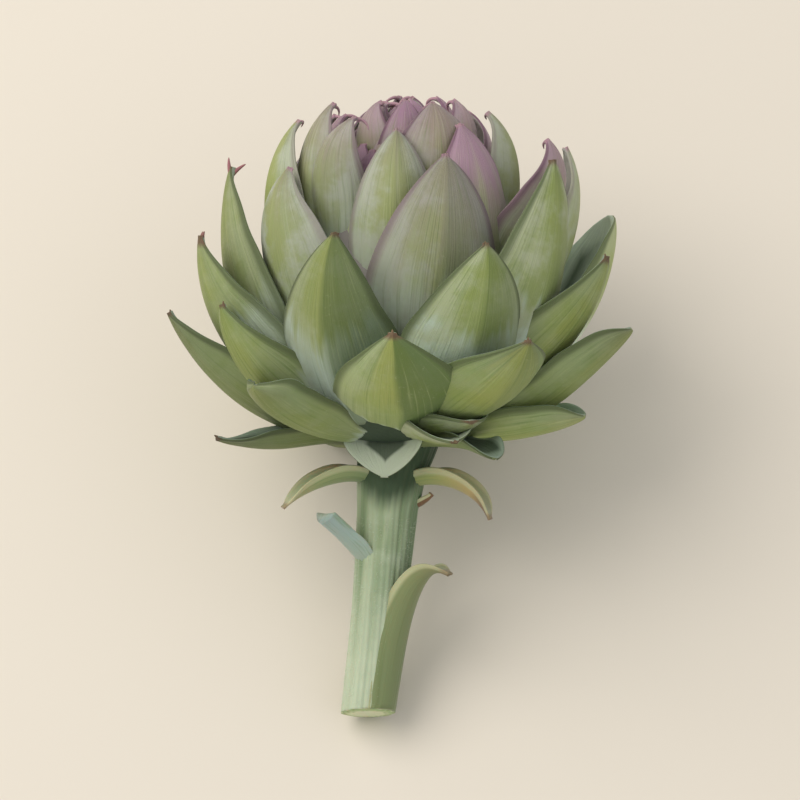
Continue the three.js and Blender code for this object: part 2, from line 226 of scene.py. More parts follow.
# How light it is, where most lie between -1 and 1.
TONED = {
    TUCKED: 0.8,
    -16: -2, -15: -4.5, -14: -4, -13: -1.4, -12: -4, -11: 1.1, -10: -4,
    -7: -3, -6: -1, -5: -1.2, -2: -2.8, 3: -1.2, 6: -1.1, 7: 2, 8: -2,
    10: -0.8, 11: -1, 13: -2, 21: -0.8, 26: -1,
}
# How strongly it is streaked.
STRIPES = 0.8
STRIPES_SPREAD = 0.3

# The receptacle under the outer bracts and the core of the bud, as radius and height pairs.
NECK = -2.6
BOWL = [(0, NECK), (10.5, NECK), (15, -1.6), (24, 2), (32, 8), (36, 16), (36.5, 22), (30, 24), (0, 24)]
CORE = [
    (0, 10), (16, 11.5), (24, 14.5), (29, 20), (30.5, 27), (30, 38),
    (27, 50), (22, 60), (15, 67), (8, 71), (0, 73),
]
AROUND = 72  # steps round each of them
# The bowl and the core take the deep painted shade of an inner face all over.
BOWL_GROWTH = (-1.6, 30, 0)  # its tone, half its width and how strong its painted side shade is
CORE_GROWTH = (-1, 30, 0)
CORE_COAT = (1, 0, 0)  # how mauve, how bloomed and how yellow it is

# The fine form of a bract. Its fineness is the rows along it and the steps across each face.
BRACT_FINENESS = (44, 34, 16)
INNER_FINENESS = (28, 20, 10)
ROW_CROWDING = 1.15  # above 1, the rows crowd towards the tip
EDGE_CROWDING = 0.86  # nearer 1, the steps across the outer face crowd towards the edges
RIM_ROUND = 0.4  # how far the rim stands out, as a share of its thickness
FOLDS = 9  # soft lengthwise ridges across a bract
FOLD_HEIGHT = 0.09
SWELL = 0.32  # height of the slow unevenness of the outer face
SWELL_ACROSS = 7.0
SWELL_ALONG = 15.0
RIPPLE = 0.8  # how far a margin waves in and out
RIPPLE_LENGTH = 9.0
RIPPLE_FROM = 0.55  # how far out the waves start, as a share of half the width
RIPPLE_SEED = 3.7  # keeps the waves of the two margins apart
BLADE_SEED = 7.31  # keeps the unevenness of one blade and the next apart
POINT_LENGTH = 1.1  # the horny point at the tip of an outer bract
POINT_BEND = 20
CURL_LENGTH = 4.6  # the thin curled tip of a bract of the crown
CURL_BEND = 150
CURL_SWING = 70  # how far a curled tip may turn to the side
CURL_SPREAD = 0.4  # how much longer or shorter one may be
CURLED = 17  # bracts from this number on have curled tips
POINT_FROM = 0.965  # where on a bract its point is rooted
POINT_ROOT = 1.2  # how much longer it is than what shows
POINT_RADIUS = 0.52
POINT_END = 0.07
POINT_TAPER = 0.6
POINT_RINGS = 14
POINT_AROUND = 8
LONG_POINTS = {6: 2.0, 11: 3.6}
FORKED = {6: (16, 0), 11: (30, 75)}  # split points: how far each half leans, and the split's twist
BLUSHED = {6: 0.6, 11: 1.0}  # outer bracts whose point is pink, and how deep a pink
BLUSHED_GIRTH = 0.4  # how much thicker a pink point is

# ---- The stem --------------------------------------------------------------------------------

STEM_TOP = -2.95
STEM_STATIONS = [
    (-80, 7.0, 9.2),
    (-62, 6.8, 7.2),
    (-48, 6.8, 5.8),
    (-34, 7.1, 4.5),
    (-20, 7.7, 3.4),
    (-11, 8.7, 2.3),
    (-6, 9.8, 1.2),
    (STEM_TOP, 10.3, 0.5),
]
STEM_LENGTH = 72
CUT_LEAN = 12  # how far the cut is off square
CUT_REACH = 16  # length over which the rings tilt into the cut
RIBS = 9
RIB_HEIGHT = 0.45
RIB_ROUNDNESS = 0.8
RIB_SHARES = (0.8, 0.2, 0.15)  # of that height: what every rib has, and what two broad waves add
RIB_TWIST = 0.04  # how far the waves turn about the stem, in radians for a millimetre
FINE_RIBS = 31
FINE_RIB_HEIGHT = 0.09
STEM_ROWS = 150
STEM_AROUND = 216
LUMP_HEIGHT = 0.22  # of the slow unevenness of the rind
LUMP_LENGTH = 16
LUMPS_AROUND = 2.2
CUT_ROWS = 18
CUT_LIP = 0.35  # how far the cut stands out inside its rim
CUT_HOLLOW = 0.5  # how far its pith has sunk

# Its small leaves: the turn, foot, tip, slopes, width, hollow, thickness, drift, how broad the end is,
# and how far it has dried.
STEM_LEAVES = [
    (-66, 3, -15, 29, -19, 50, -48, 12, 3.8, 1.2, 0, 0, 0.8),
    (66, 3, -15, 29, -22, 44, -68, 12, 3.8, 1.2, 0, 0, 0.95),
    (84, 5, -19, 11, -15.5, 5, 50, 4, 0.8, 1.2, 0, 0, 1.3),
    (-60, 3, -34.5, 18.5, -21.5, 46, 32, 11, 0.9, 2.8, 0, 0.85, 0.0),
    (42, 7.2, -79, 20, -36, 91, -30, 16, 5.0, 1.2, 0.12, 0, 0.75),
    (152, 4.5, -50, 13, -34, 86, 30, 8, 1.6, 1.2, 0, 0, 0.5),
]
STEM_LEAF_SHADE = {4: 0.55}  # the clasping one is a deeper olive
STEM_LEAF_NUMBER = 50  # their numbers start here, so that no two blades stray alike
STEM_LEAF_FINENESS = (44, 24, 12)
STEM_LEAF_KEEL = 0.3
STEM_LEAF_BLUNT = 3.2
STEM_LEAF_ACUTE = 0.8
STEM_LEAF_WAVE = 0.6
STALK = 0.7  # share of its width that a stem leaf has at its foot

HAIRS = 2600
HAIRS_FROM = -22  # the height at which they begin
HAIR_LENGTH = 0.9
HAIR_WIDTH = 0.05
HAIR_ROOT = 0.3  # how deep a hair is rooted
HAIR_STRAY = 0.5  # how far its length and its lean may stray


# ---- Shapes ----------------------------------------------------------------------------------

# What strays from bract to bract and from hair to hair, each by numbers of its own.
DRAWS = {
    "turn": 1, "reach": 2, "rise": 3, "lean": 4, "drift": 5, "tone": 6,
    "curl_swing": 7, "flush": 8, "bloom": 9, "yellow": 10, "curl_length": 11, "stripes": 12,
    "hair_turn": 20, "hair_height": 21, "hair_rise": 22, "hair_lean": 23, "hair_length": 24,
}


def stray(number, use):
    """A number from -1 to 1 that is always the same for the same bract or hair and the same use."""
    x = math.sin(number * 12.9898 + DRAWS[use] * 78.233) * 43758.5453
    return 2 * (x - math.floor(x)) - 1


def between(table, place):
    """The row of a table at a place between two of its rows. The first column is the place."""
    columns = np.array(table, float).T
    return [np.interp(place, columns[0], column) for column in columns[1:]]


def smooth(low, high, x):
    share = np.clip((x - low) / (high - low), 0, 1)
    return share * share * (3 - 2 * share)


def mix(a, b, share):
    return a + (b - a) * share


def bract_plan(number, stations):
    """Everything that shapes one bract."""
    r0, h0, r1, h1, leaves, arrives, width, hollow, thick, blunt = between(stations, number)
    seeded = {key: most * stray(number, key) for key, most in STRAY.items()}
    own = {**IN_LINE, **STRAYED.get(number, seeded)}
    return {
        "number": number,
        "turn": number * GOLDEN_TURN + own["turn"],
        "bend_at": lambda height: 0,
        "foot": (r0 + own["shift"], h0 + own["lift"]),
        "tip": (r1 + own["reach"], h1 + own["rise"]),
        "slopes": (leaves, arrives + own["lean"]),
        "drift": DRIFT * stray(number, "drift"),
        "swing": own["swing"],
        "width": width * own["broad"],
        "hollow": hollow * own["broad"] * own["hollow"],
        "thick": thick,
        "keel": KEEL,
        "width_at": lambda t: mix(FOOT_WIDTH + own["wide_foot"], 1, smooth(0, FULL_WIDTH_AT, t))
        * (1 - t ** (blunt + own["blunt"])) ** (ACUTE - own["rounded"]),
        "body_at": lambda t: mix(1, TIP_BODY, t),
        "wavy": own["wavy"],
        "pointed": not own["rounded"] and number <= INNERMOST,
    }


def stem_leaf_plan(number, row):
    turn, r0, h0, r1, h1, leaves, arrives, width, hollow, thick, drift, end, _ = row
    return {
        "number": number,
        "turn": turn,
        "bend_at": lambda height: between(STEM_STATIONS, height)[1],
        "foot": (r0, h0),
        "tip": (r1, h1),
        "slopes": (leaves, arrives),
        "drift": drift,
        "swing": 0,
        "width": width,
        "hollow": hollow,
        "thick": thick,
        "keel": STEM_LEAF_KEEL,
        "width_at": lambda t: mix(STALK, 1, smooth(0, FULL_WIDTH_AT, t))
        * np.maximum((1 - t**STEM_LEAF_BLUNT) ** STEM_LEAF_ACUTE, end),
        "body_at": np.ones_like,
        "wavy": STEM_LEAF_WAVE,
    }


def midline(plan, along):
    """Points and unit directions of a blade's midline, in the plane of its turn, and its length."""
    foot, tip = np.array(plan["foot"], float), np.array(plan["tip"], float)
    length = np.linalg.norm(tip - foot)
    leaving, arriving = (
        np.array([math.cos(math.radians(s)), math.sin(math.radians(s))]) * length / 3
        for s in plan["slopes"]
    )
    corners = [foot, foot + leaving, tip - arriving, tip]
    t = along[:, None]
    weights = [(1 - t) ** 3, 3 * t * (1 - t) ** 2, 3 * t**2 * (1 - t), t**3]
    points = sum(w * c for w, c in zip(weights, corners))
    pace = [3 * (1 - t) ** 2, 6 * t * (1 - t), 3 * t**2]
    ways = sum(w * (b - a) for w, a, b in zip(pace, corners, corners[1:]))
    return points, ways / np.linalg.norm(ways, axis=1)[:, None], length


def relief_of(plan, across, along, length):
    """How far the fine form stands out at each point of the outer face, and how a margin waves."""
    out = np.zeros(np.broadcast(across, along).shape)
    wave = np.zeros_like(out)
    seed = plan["number"] * BLADE_SEED
    half = plan["width"] / 2
    for (row, column), _ in np.ndenumerate(out):
        u, t = across[0, column], along[row, 0]
        at = Vector((u * half / SWELL_ACROSS, t * length / SWELL_ALONG, seed))
        side = Vector((math.copysign(RIPPLE_SEED, u), t * length / RIPPLE_LENGTH, seed))
        out[row, column] = SWELL * noise.noise(at)
        wave[row, column] = RIPPLE * noise.noise(side)
    folds = FOLD_HEIGHT * np.cos(math.pi * FOLDS * across) * (1 - along**2)
    return out + folds, wave * smooth(RIPPLE_FROM, 1, abs(across)) * plan["wavy"]


def blade(plan, rows, front, back):
    """One closed leafy blade: its points, its faces and, for each point, where on the blade it is."""
    along = 1 - (1 - np.linspace(0, 1, rows + 1)) ** ROW_CROWDING
    middle, way, length = midline(plan, along)
    inwards = np.stack([-way[:, 1], way[:, 0]], axis=1)
    t = along[:, None]
    half = np.maximum(plan["width_at"](t) * plan["width"], TIP_WIDTH) / 2
    curl = plan["width"] ** 2 / (8 * plan["hollow"]) * mix(1, TIP_CURL, t)

    # Round each section: the outer face, the rim, the inner face and the other rim.
    spread = math.pi / 2 * EDGE_CROWDING
    outer = np.sin(np.linspace(-spread, spread, front + 1)) / math.sin(spread)
    inner = np.linspace(1, -1, back + 1)
    across = np.concatenate([outer, [1], inner, [-1]])[None, :]
    side = np.concatenate([-np.ones(front + 1), [0], np.ones(back + 1), [0]])[None, :]
    inner_share = np.maximum(side, 0)
    rim = np.concatenate([np.zeros(front + 1), [1], np.zeros(back + 1), [1]])[None, :]

    swell, wave = relief_of(plan, across, t, length)
    angle = half * across / curl
    thick = mix(BRACT_EDGE, plan["thick"], (1 - across**2) * plan["body_at"](t))
    ridge = 1 - np.sqrt(across**2 + KEEL_SOFTNESS**2) + KEEL_SOFTNESS
    keel = plan["keel"] * (half / plan["width"]) * 2 * ridge
    deep = curl * (1 - np.cos(angle)) - keel + side * thick / 2 + wave - swell * (side < 0)
    radius = middle[:, :1] + inwards[:, :1] * deep
    height = middle[:, 1:] + inwards[:, 1:] * deep
    drift = (plan["drift"] * length + plan["swing"]) * t**2
    wide = curl * np.sin(angle) + drift + rim * np.sign(across) * BRACT_EDGE * RIM_ROUND

    turn = math.radians(plan["turn"])
    x = radius * math.sin(turn) + wide * math.cos(turn) - plan["bend_at"](middle[:, 1:])
    y = -radius * math.cos(turn) + wide * math.sin(turn)
    points = np.stack([x, y, height], axis=2).reshape(-1, 3)
    where = np.stack(
        [np.broadcast_to(v, x.shape) for v in (across * plan["width"] / 2, t, inner_share)],
        axis=2,
    ).reshape(-1, 3)
    return points, tube_faces(rows + 1, across.shape[1]), where


def tube_faces(rings, size):
    """Faces of a closed tube through rings of points, with its two ends."""
    faces = []
    for row in range(rings - 1):
        for i in range(size):
            a, b = row * size + i, row * size + (i + 1) % size
            faces.append((a, b, b + size, a + size))
    faces.append(tuple(reversed(range(size))))
    faces.append(tuple((rings - 1) * size + i for i in range(size)))
    return faces


def point(plan, length, bend, split, swing, blush):
    """The tapering point of a bract, or one half of it if it is split: bent inwards, or to the side
    if it is swung round."""
    middle, way, full = midline(plan, np.array([POINT_FROM, 1.0]))
    turn = math.radians(plan["turn"])
    out = Vector((math.sin(turn), -math.cos(turn), 0))
    beside = Vector((math.cos(turn), math.sin(turn), 0))
    up = Vector((0, 0, 1))
    at = out * middle[0, 0] + up * middle[0, 1] + beside * (plan["drift"] * full + plan["swing"])
    forward = out * way[1, 0] + up * way[1, 1]
    inwards = up * way[1, 0] - out * way[1, 1]
    hinge = Matrix.Rotation(math.radians(split[1]), 3, forward) @ inwards
    heading = Matrix.Rotation(math.radians(split[0]), 3, hinge) @ forward
    hinge = Matrix.Rotation(math.radians(swing), 3, heading) @ heading.cross(inwards)
    step = Matrix.Rotation(math.radians(bend / POINT_RINGS), 3, hinge)
    girth = POINT_RADIUS * (1 + BLUSHED_GIRTH * blush)
    points = []
    for row in range(POINT_RINGS + 1):
        thick = girth * (1 - row / POINT_RINGS) ** POINT_TAPER + POINT_END
        for i in range(POINT_AROUND):
            a = 2 * math.pi * i / POINT_AROUND
            points.append(at + hinge * thick * math.cos(a) + hinge.cross(heading) * thick * math.sin(a))
        at = at + heading * (length + POINT_ROOT) / POINT_RINGS
        heading = step @ heading
    where = np.tile([0.0, 1 + blush, 0.0], (len(points), 1))
    return np.array(points), tube_faces(POINT_RINGS + 1, POINT_AROUND), where


def turned(profile):
    """A solid of revolution about the head's axis."""
    rings = [
        [
            (r * math.cos(2 * math.pi * i / AROUND), r * math.sin(2 * math.pi * i / AROUND), h)
            for i in range(AROUND)
        ]
        for r, h in profile
    ]
    points = np.array(rings, float).reshape(-1, 3)
    where = np.tile([0.0, 0.0, 1.0], (len(points), 1))
    return points, tube_faces(len(rings), AROUND), where


def stem_ring(height, angles):
    """One ring of the ribbed stem, tilted into the cut near its end."""
    radius, bend = between(STEM_STATIONS, height)
    even, wave, small_wave = RIB_SHARES
    twist = RIB_TWIST * height
    uneven = even + wave * np.cos(2 * angles + 1) + small_wave * np.cos(5 * angles + twist)
    ribs = RIB_HEIGHT * (np.abs(np.cos(RIBS * angles / 2)) ** RIB_ROUNDNESS - 0.5) * uneven
    fine = FINE_RIB_HEIGHT * np.cos(FINE_RIBS * angles + 2 * twist)
    places = [
        Vector((LUMPS_AROUND * math.cos(a), LUMPS_AROUND * math.sin(a), height / LUMP_LENGTH))
        for a in angles
    ]
    lumps = LUMP_HEIGHT * np.array([noise.noise(place) for place in places])
    out = radius + ribs + fine + lumps
    x = out * np.cos(angles) - bend
    y = out * np.sin(angles)
    tilt = smooth(-STEM_LENGTH + CUT_REACH, -STEM_LENGTH, height) * math.tan(math.radians(CUT_LEAN))
    return np.stack([x, y, height - y * tilt], axis=1)


# ---- Meshes ----------------------------------------------------------------------------------

# What the points of a piece keep for its material, three numbers under each name.
#   place: how far across its blade a point lies, in mm, and how far along it and how near its inner
#     face, as shares; on the stem, how high on a rib, how far down, and the turn in radians
#   growth: the blade's tone, half its width in mm and how strong the painted shade beyond its keel
#     is; on a stem leaf, how far it has dried, half its width and how deep an olive it is
#   coat: how mauve, how bloomed and how yellow where it is rubbed
#   wear: how sheltered, how streaked and how dry at the tip
KEPT = ("place", "growth", "coat", "wear")


def make_piece(name, parts, node, materials):
    """One piece from closed parts: each its points, its faces and what its points keep."""
    points = []
    faces = []
    kept_values = {key: [] for key in KEPT}
    count = 0
    for part_points, part_faces, *values in parts:
        points.append(part_points)
        faces += [tuple(i + count for i in face) for face in part_faces]
        for rows, value in zip(kept_values.values(), values):
            rows.append(np.broadcast_to(value, (len(part_points), 3)))
        count += len(part_points)
    mesh = bpy.data.meshes.new(name)
    laid = np.array([LAID @ Vector(point) for point in np.concatenate(points)])
    # A tip that leaves the solids' room by a hair's breadth is rubbed flat there.
    mesh.from_pydata(np.clip(laid, *cad_box).tolist(), [], faces)
    mesh.shade_smooth()
    for key, rows in kept_values.items():
        if rows:
            layer = mesh.attributes.new(key, "FLOAT_VECTOR", "POINT")
            layer.data.foreach_set("vector", np.concatenate(rows).astype(np.float32).ravel())
    for material in materials:
        mesh.materials.append(material)
    piece = bpy.data.objects.new(name, mesh)
    bpy.context.scene.collection.objects.link(piece)
    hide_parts(node)
    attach(piece, "root")
    return piece


# ---- Materials -------------------------------------------------------------------------------

SOFT = {"interpolation_type": "SMOOTHSTEP"}  # a share that rises gently from one value to another
PAPER = "#DAD2C5"
OUTER_COLOURS = {
    "length": [(0.05, "#B7C7B6"), (0.14, "#8B9A62"), (0.45, "#8A9954"), (0.75, "#7D9057"), (1.0, "#757E56")],
    "rubbed": "#959C50",
    # The next colour is painted shade, for the side beyond the keel.
    "side_shade_colour": "#4F6530",
    "bloom": "#A7AF8C",
    "flush": "#8A6F7C",
    "streak": "#5D7636",
    "glint": "#B2BA84",
    "fleck": "#B9BF98",
    "margin": "#4E5A36",
    "margined": 1.0,  # how far a margin is coloured where there is no mauve
    "point": "#6C5240",
    "blush": "#A0686F",
    "inner": ("#7C9484", "#9DAF9C"),
    # The deep colour is painted shade, on the inner face towards its foot and over the bowl.
    "deep": "#2D412A",
    "down": "#C3CDB5",
}
HEART_COLOURS = {
    "length": [(0.04, "#B2C0AA"), (0.2, "#97A273"), (0.5, "#8E986D"), (0.72, "#8F907B"), (0.9, "#87757F")],
    "rubbed": "#929A4C",
    # The next colour is painted shade, for the side beyond the keel.
    "side_shade_colour": "#6A7264",
    "bloom": "#A9AF9C",
    "flush": "#9A788D",
    "streak": "#687A48",
    "glint": "#B4B99C",
    "fleck": "#B8BAAA",
    "margin": "#6C4F5F",
    "margined": 0.38,
    "point": "#A8838F",
    "blush": "#A0686F",
    "inner": ("#93988F", "#AFA6A6"),
    # The deep colour is painted shade, on the inner face towards its foot and over the core.
    "deep": "#7C7873",
    "down": "#B4B3A8",
}
FRESH_LEAF = [(0.0, "#A1B09B"), (0.5, "#96A99E"), (1.0, "#92A5A0")]
DRYING_LEAF = [(0.0, "#7E9152"), (0.45, "#98A05A"), (0.8, "#B09A62"), (0.97, "#7A5A3C")]
PITH = [(0.0, "#DCDDBF"), (0.6, "#D3D9B2"), (0.78, "#B5C490"), (0.92, "#9DB27C"), (1.0, "#7F9468")]


def linear(colour):
    """An sRGB hex value as linear red, green, blue and alpha."""
    parts = [int(colour[i : i + 2], 16) / 255 for i in (1, 3, 5)]
    return [c / 12.92 if c <= 0.04045 else ((c + 0.055) / 1.055) ** 2.4 for c in parts] + [1]


def add(tree, kind, settings, out=0):
    """Adds a node and gives the output it is read from. A setting is one of the node's own, or an
    input by its name or its number, and one that is a socket becomes a link."""
    node = tree.nodes.new("ShaderNode" + kind)
    for key, value in settings.items():
        if key == "stops":
            elements = node.color_ramp.elements
            while len(elements) < len(value):
                elements.new(1)
            for element, (place, colour) in zip(elements, value):
                element.position = place
                element.color = linear(colour)
        elif isinstance(key, str) and hasattr(node, key):
            setattr(node, key, value)
        else:
            numbered = enumerate(node.inputs)
            socket = next(s for i, s in numbered if key in (i, s.identifier, s.name))
            if isinstance(value, bpy.types.NodeSocket):
                tree.links.new(value, socket)
            else:
                socket.default_value = linear(value) if isinstance(value, str) else value
    return next((s for s in node.outputs if out in (0, s.identifier, s.name)), None)


def over(tree, skin, layers):
    """Lays colours over a skin. Each has a value; where the value starts to show it and where it
    shows it in full, or None for a value that is a share already; and what weakens that share."""
    for colour, share, span, *weakened in layers:
        if span:
            share = add(tree, "MapRange", {0: share, 1: span[0], 2: span[1], **SOFT})
        for by in weakened:
            share = add(tree, "Math", {"operation": "MULTIPLY", 0: share, 1: by})
        settings = {"data_type": "RGBA", "Factor_Float": share, "A_Color": skin, "B_Color": colour}
        skin = add(tree, "Mix", settings, "Result_Color")
    return skin


def kept(tree, name):
    """The three numbers that the points of a mesh keep under a name."""
    vector = add(tree, "Attribute", {"attribute_name": name}, "Vector")
    return [add(tree, "SeparateXYZ", {"Vector": vector}, axis) for axis in "XYZ"]


def finished(name, build, shader):
    """A material from a function that gives the links of its shader, and the shader's fixed values."""
    material = bpy.data.materials.new(name)
    material.use_nodes = True
    tree = material.node_tree
    tree.nodes.clear()
    surface = add(tree, "BsdfPrincipled", {**shader, **build(tree)})
    add(tree, "OutputMaterial", {"Surface": surface})
    return material


def bract_skin(name, colours):
    """Bract skin: a tough rind under a waxy bloom. It looks matt and softly striped from foot to tip,
    greenest where the bloom has been rubbed off, bluish where it was sheltered, with a dry point.
    Painted shade makes some a deeper green beyond the keel, and the inner face deep green towards
    its foot."""

    def build(tree):
        across, along, side = kept(tree, "place")
        tone, half, side_shade_strength = kept(tree, "growth")
        flush, bloom, yellow = kept(tree, "coat")
        sheltered, striped, tipped = kept(tree, "wear")

        # Streaks about 1 mm apart that run from foot to tip, and broader ones 4 mm apart.
        long = add(tree, "Math", {"operation": "MULTIPLY", 0: along, 1: 1.3})
        apart = add(tree, "Math", {"operation": "MULTIPLY", 0: tone, 1: 40.0})
        at = add(tree, "CombineXYZ", {"X": across, "Y": long, "Z": apart})
        fine = add(tree, "TexNoise", {"Vector": at, "Scale": 1.3, "Detail": 3.0, "Roughness": 0.65})
        wide_at = add(tree, "VectorMath", {"operation": "MULTIPLY", 0: at, 1: (0.28, 1.4, 1)})
        wide = add(tree, "TexNoise", {"Vector": wide_at, "Scale": 1.0, "Detail": 2.0})
        # Cloudy patches about 8 mm across, in the frame's metres, and flecks of 1 mm.
        solid = add(tree, "TexCoord", {}, "Object")
        clouds = {"Vector": solid, "Scale": 1 / (8 * MM), "Detail": 4.0, "Roughness": 0.6}
        cloud = add(tree, "TexNoise", clouds)
        fleck = add(tree, "TexNoise", {"Vector": solid, "Scale": 900.0, "Detail": 2.0})

        # The green changes from foot to tip, a little later along the edges and where it is sheltered.
        edge = add(tree, "Math", {"operation": "DIVIDE", 0: across, 1: half})
        edge = add(tree, "Math", {"operation": "ABSOLUTE", 0: edge})
        place = add(tree, "Math", {"operation": "MULTIPLY_ADD", 0: wide, 1: 0.3, 2: along})
        place = add(tree, "Math", {"operation": "MULTIPLY_ADD", 0: edge, 1: -0.13, 2: place})
        place = add(tree, "Math", {"operation": "SUBTRACT", 0: place, 1: sheltered})
        green = add(tree, "ValToRGB", {"Fac": place, "stops": colours["length"]})
        # The bloom is rubbed off along the middle, above the foot, and lies in clouds near the edges.
        rubbed = add(tree, "Math", {"operation": "MULTIPLY_ADD", 0: edge, 1: -1.0, 2: wide})
        above = add(tree, "MapRange", {0: along, 1: 0.3, 2: 0.55, **SOFT})
        waxy = add(tree, "Math", {"operation": "MULTIPLY_ADD", 0: edge, 1: 0.35, 2: cloud})
        mauve = add(tree, "Math", {"operation": "MULTIPLY_ADD", 0: wide, 1: 0.5, 2: along})
        # The tip is dry, the margin darker or mauve, and a pink point lies past the end of the length.
        dry = add(tree, "Math", {"operation": "MULTIPLY_ADD", 0: tipped, 1: 0.045, 2: along})
        dry = add(tree, "Math", {"operation": "MULTIPLY_ADD", 0: fine, 1: 0.02, 2: dry})
        rim = add(tree, "Math", {"operation": "MULTIPLY_ADD", 0: along, 1: 0.06, 2: edge})
        margined = {"operation": "ADD", 0: flush, 1: colours["margined"], "use_clamp": True}
        margined = add(tree, "Math", margined)
        blush = add(tree, "Math", {"operation": "SUBTRACT", 0: along, 1: 1.0, "use_clamp": True})
        # Painted shade: some are darkened to a deeper green beyond the keel, on the side away from the
        # light.
        side_shade_share = add(tree, "Math", {"operation": "MULTIPLY_ADD", 0: wide, 1: 4.0, 2: across})
        # On those, the near part of the inner face is kept free of the painted shade below.
        side_shade_lifted = add(tree, "MapRange", {0: across, 1: 8, 2: 15, **SOFT})
        side_shade_lifted = add(tree, "Math", {"operation": "SUBTRACT", 0: 1.0, 1: side_shade_lifted})
        side_shade_lifted = add(tree, "Math", {"operation": "MULTIPLY", 0: side_shade_lifted, 1: side_shade_strength})
        # The inner face is paler, with painted shade, a deep green, from its foot up, as in the recess
        #         where it meets the head; less far up where its down is thick.
        downy = add(tree, "Math", {"operation": "MULTIPLY_ADD", 0: bloom, 1: 0.15, 2: edge})
        downy = add(tree, "MapRange", {0: downy, 1: 0.68, 2: 0.92, **SOFT})
        thick_down = add(tree, "Math", {"operation": "MULTIPLY", 0: bloom, 1: bloom})
        rise = add(tree, "Math", {"operation": "MULTIPLY_ADD", 0: edge, 1: 0.14, 2: 0.045})
        rise = add(tree, "Math", {"operation": "MULTIPLY_ADD", 0: thick_down, 1: rise, 2: along})
        rise = add(tree, "MapRange", {0: rise, 1: 0.82, 2: 0.96, **SOFT})
        lit = add(tree, "Math", {"operation": "MAXIMUM", 0: downy, 1: rise})
        lit = add(tree, "Math", {"operation": "MAXIMUM", 0: lit, 1: side_shade_lifted})
        # Where the inner face takes the painted shade.
        hollow = add(tree, "Math", {"operation": "SUBTRACT", 0: 1.0, 1: lit})
        inner, inner_streak = colours["inner"]
        lining = [
            (inner_streak, fine, (0.4, 0.7), 0.8),
            (colours["flush"], flush, None, 0.5),
            (colours["down"], bloom, None, 0.6),
            (colours["deep"], hollow, None),
        ]
        layers = [
            (colours["rubbed"], rubbed, (-0.25, 0.3), above, yellow, 0.75),
            (colours["bloom"], waxy, (0.5, 0.85), bloom, 0.8),
            # painted shade: a deeper green beyond the keel
            (colours["side_shade_colour"], side_shade_share, (0.6, 3.2), side_shade_strength, 0.88),
            (colours["flush"], mauve, (0.55, 1.15), flush, 0.9),
            (colours["streak"], fine, (0.52, 0.72), striped, 0.5),
            (colours["glint"], fine, (0.46, 0.28), striped, 0.35),
            (colours["fleck"], fleck, (0.62, 0.85), 0.2),
            (colours["margin"], rim, (0.87, 1.01), margined, 0.85),
            (colours["point"], dry, (0.985, 1.02), 0.9),
            (colours["blush"], blush, None, 0.9),
            (over(tree, inner, lining), side, (0.55, 0.9)),
        ]
        skin = over(tree, green, layers)
        level = add(tree, "Math", {"operation": "MULTIPLY_ADD", 0: tone, 1: 0.1, 2: 1.02})
        skin = add(tree, "HueSaturation", {"Color": skin, "Value": level})
        rough = add(tree, "MapRange", {"Value": cloud, "To Min": 0.44, "To Max": 0.68})
        raised = add(tree, "Math", {"operation": "MULTIPLY_ADD", 0: fleck, 1: 0.25, 2: fine})
        bump = add(tree, "Bump", {"Height": raised, "Strength": 0.7, "Distance": 0.35 * MM})
        return {"Base Color": skin, "Roughness": rough, "Normal": bump}

    shader = {
        "IOR": 1.45,
        "Specular IOR Level": 0.35,
        "Subsurface Weight": 0.1,
        "Subsurface Radius": (0.6, 1.0, 0.25),
        "Subsurface Scale": 1.2 * MM,
        "Sheen Weight": 0.05,
        "Sheen Roughness": 0.5,
    }
    return finished(name, build, shader)


